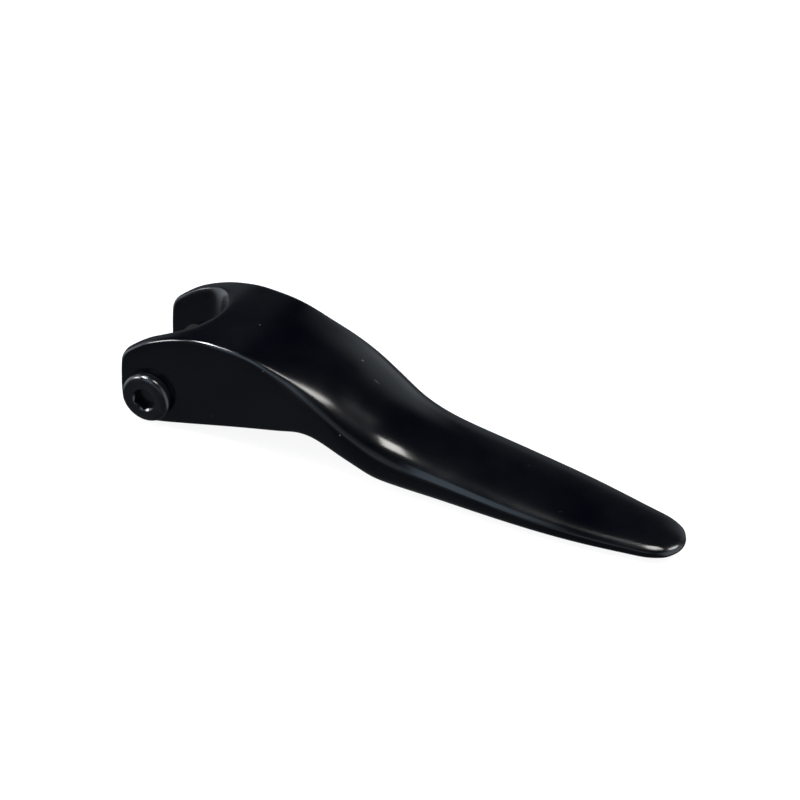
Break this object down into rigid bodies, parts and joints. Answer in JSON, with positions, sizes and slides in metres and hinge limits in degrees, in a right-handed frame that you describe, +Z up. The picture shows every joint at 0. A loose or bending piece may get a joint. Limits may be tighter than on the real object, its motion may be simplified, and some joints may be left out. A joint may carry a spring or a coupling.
{
  "type": "forked pivot lever",
  "caption": "Hand lever with a two-cheek fork that swings on a through pivot; humped top, necked into a long tapering tongue handle.",
  "frame": {"origin": "on the pivot axis, midway between the fork's two cheeks", "axes": "+X towards the handle's tip, +Y along the pivot axis away from the screw's head, +Z up with the lever lying on a table; the X-Z plane is the lever's plane of symmetry"},
  "size_m": [0.1101, 0.0278, 0.022],
  "materials": {
    "lever_coating": "semi-gloss black coating on a casting",
    "screw_finish": "satin black finish on steel",
    "bush_polymer": "matt moulded bearing polymer"
  },
  "bodies": {
    "pivot": {"pivot_barrel": "screw_finish", "pivot_screw": "screw_finish"},
    "lever": {"lever_body": "lever_coating", "near_bush": "bush_polymer", "far_bush": "bush_polymer"}
  },
  "joints": [
    {"name": "lever_swing", "type": "hinge", "parent": "pivot", "child": "lever", "pos_m": [0, 0, 0], "axis": [0, -1, 0], "range_deg": [0, 105]}
  ]
}
